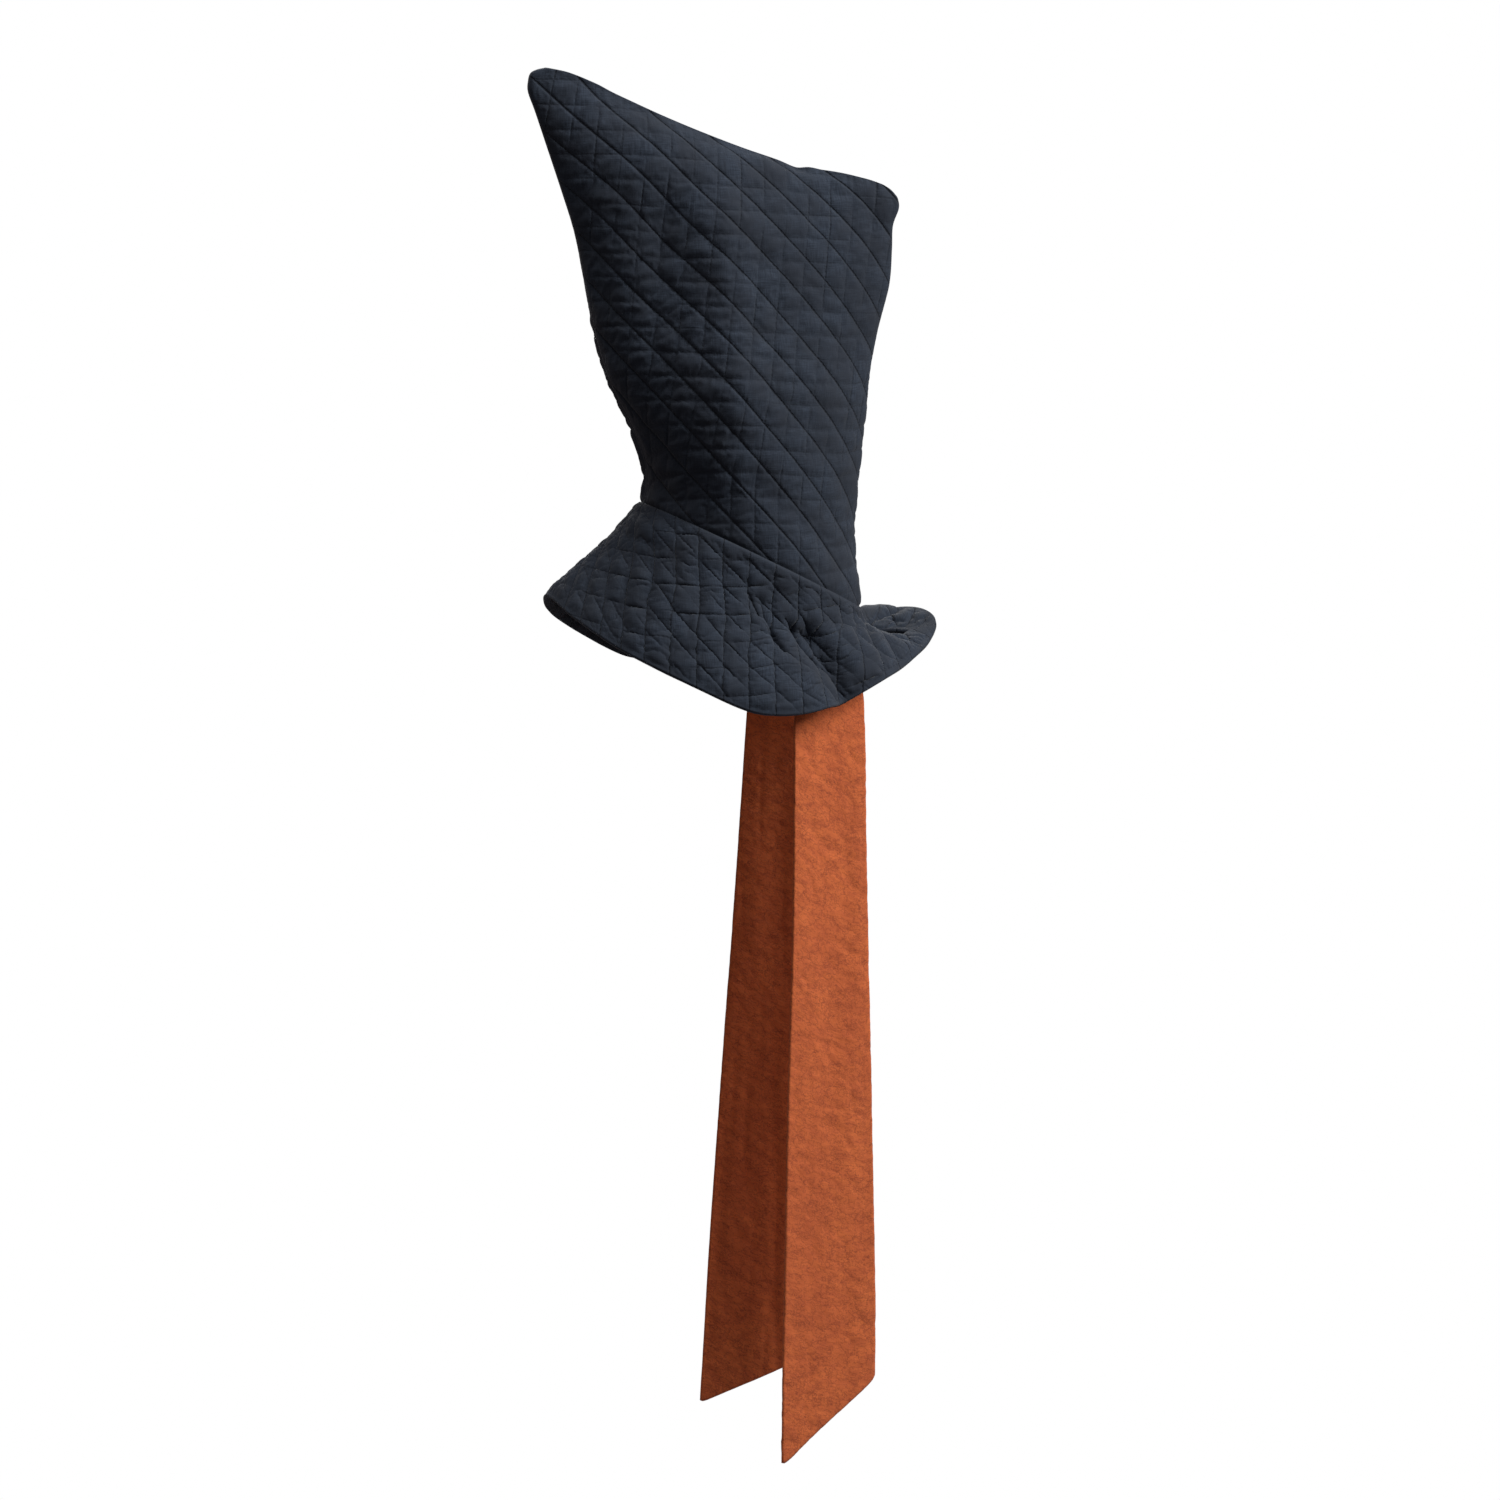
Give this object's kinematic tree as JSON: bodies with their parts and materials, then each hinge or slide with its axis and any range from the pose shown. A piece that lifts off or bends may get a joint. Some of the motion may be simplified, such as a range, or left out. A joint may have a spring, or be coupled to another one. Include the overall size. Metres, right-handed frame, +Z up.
{
  "type": "wizard hat",
  "caption": "Tall navy quilted cotton wizard hat for a child, with a forward peak, a drooping quilted brim with a small slot at the back and long rust cotton ties",
  "frame": {"origin": "centre of the oval lower edge of the crown, where the hat sits on the head", "axes": "+Z up as worn, -X to the front (the peak's side), +X to the back, -Y the wearer's left"},
  "size_m": [0.3088, 0.2418, 1.0222],
  "materials": {
    "navy_quilted_cotton": "matt slate-blue cotton, quilted in narrow diamonds with matching thread",
    "rust_cotton": "matt rust plain-weave cotton, finely creased"
  },
  "bodies": {
    "root": {"crown_left": "navy_quilted_cotton", "crown_right": "navy_quilted_cotton", "brim": "navy_quilted_cotton", "tie_left": "rust_cotton", "tie_right": "rust_cotton"}
  },
  "joints": []
}
